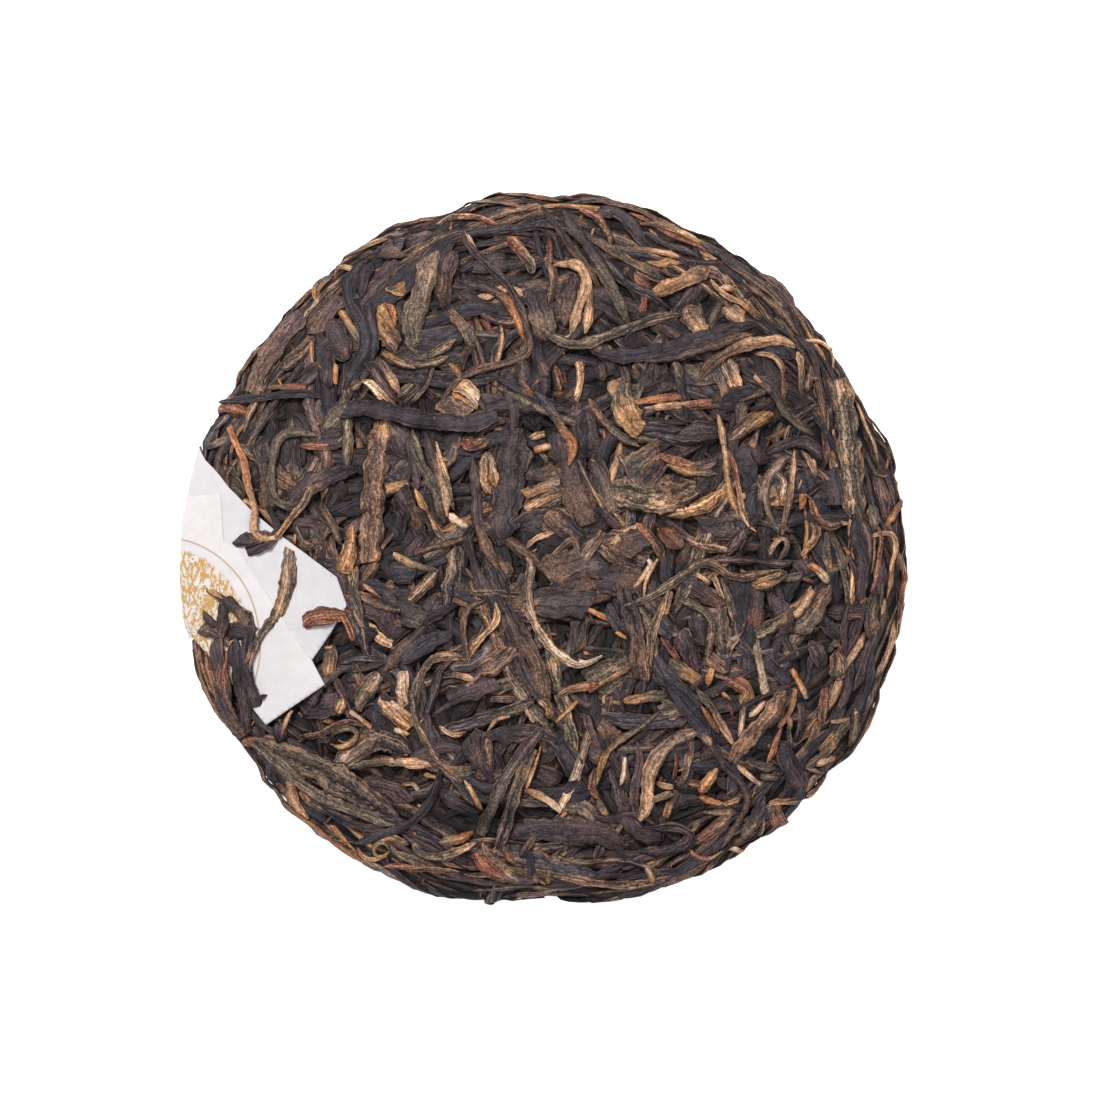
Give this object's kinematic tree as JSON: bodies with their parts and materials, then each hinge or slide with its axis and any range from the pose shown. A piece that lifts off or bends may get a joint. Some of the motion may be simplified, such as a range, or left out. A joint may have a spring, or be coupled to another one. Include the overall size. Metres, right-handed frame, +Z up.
{
  "type": "pressed tea cake",
  "caption": "Round cake of dark pressed tea leaves: a shallow domed face, a rounded rim, a dent in the back, and a printed paper ticket pressed into the face at the rim.",
  "frame": {"origin": "on the table, under the middle of the cake's bounding box", "axes": "+Z up, out of the domed face; +X to the right and +Y away from a person who looks down on the face with the paper ticket at the left"},
  "size_m": [0.2011, 0.1977, 0.025],
  "materials": {
    "dried_leaf": "matt dried leaf with a soft sheen on the smooth strips",
    "cool_paper": "thin uncoated paper",
    "warm_paper": "thin uncoated paper with a gold print"
  },
  "bodies": {
    "root": {"tea_cake": "dried_leaf", "paper_under": "cool_paper", "paper_ticket": "warm_paper"}
  },
  "joints": []
}
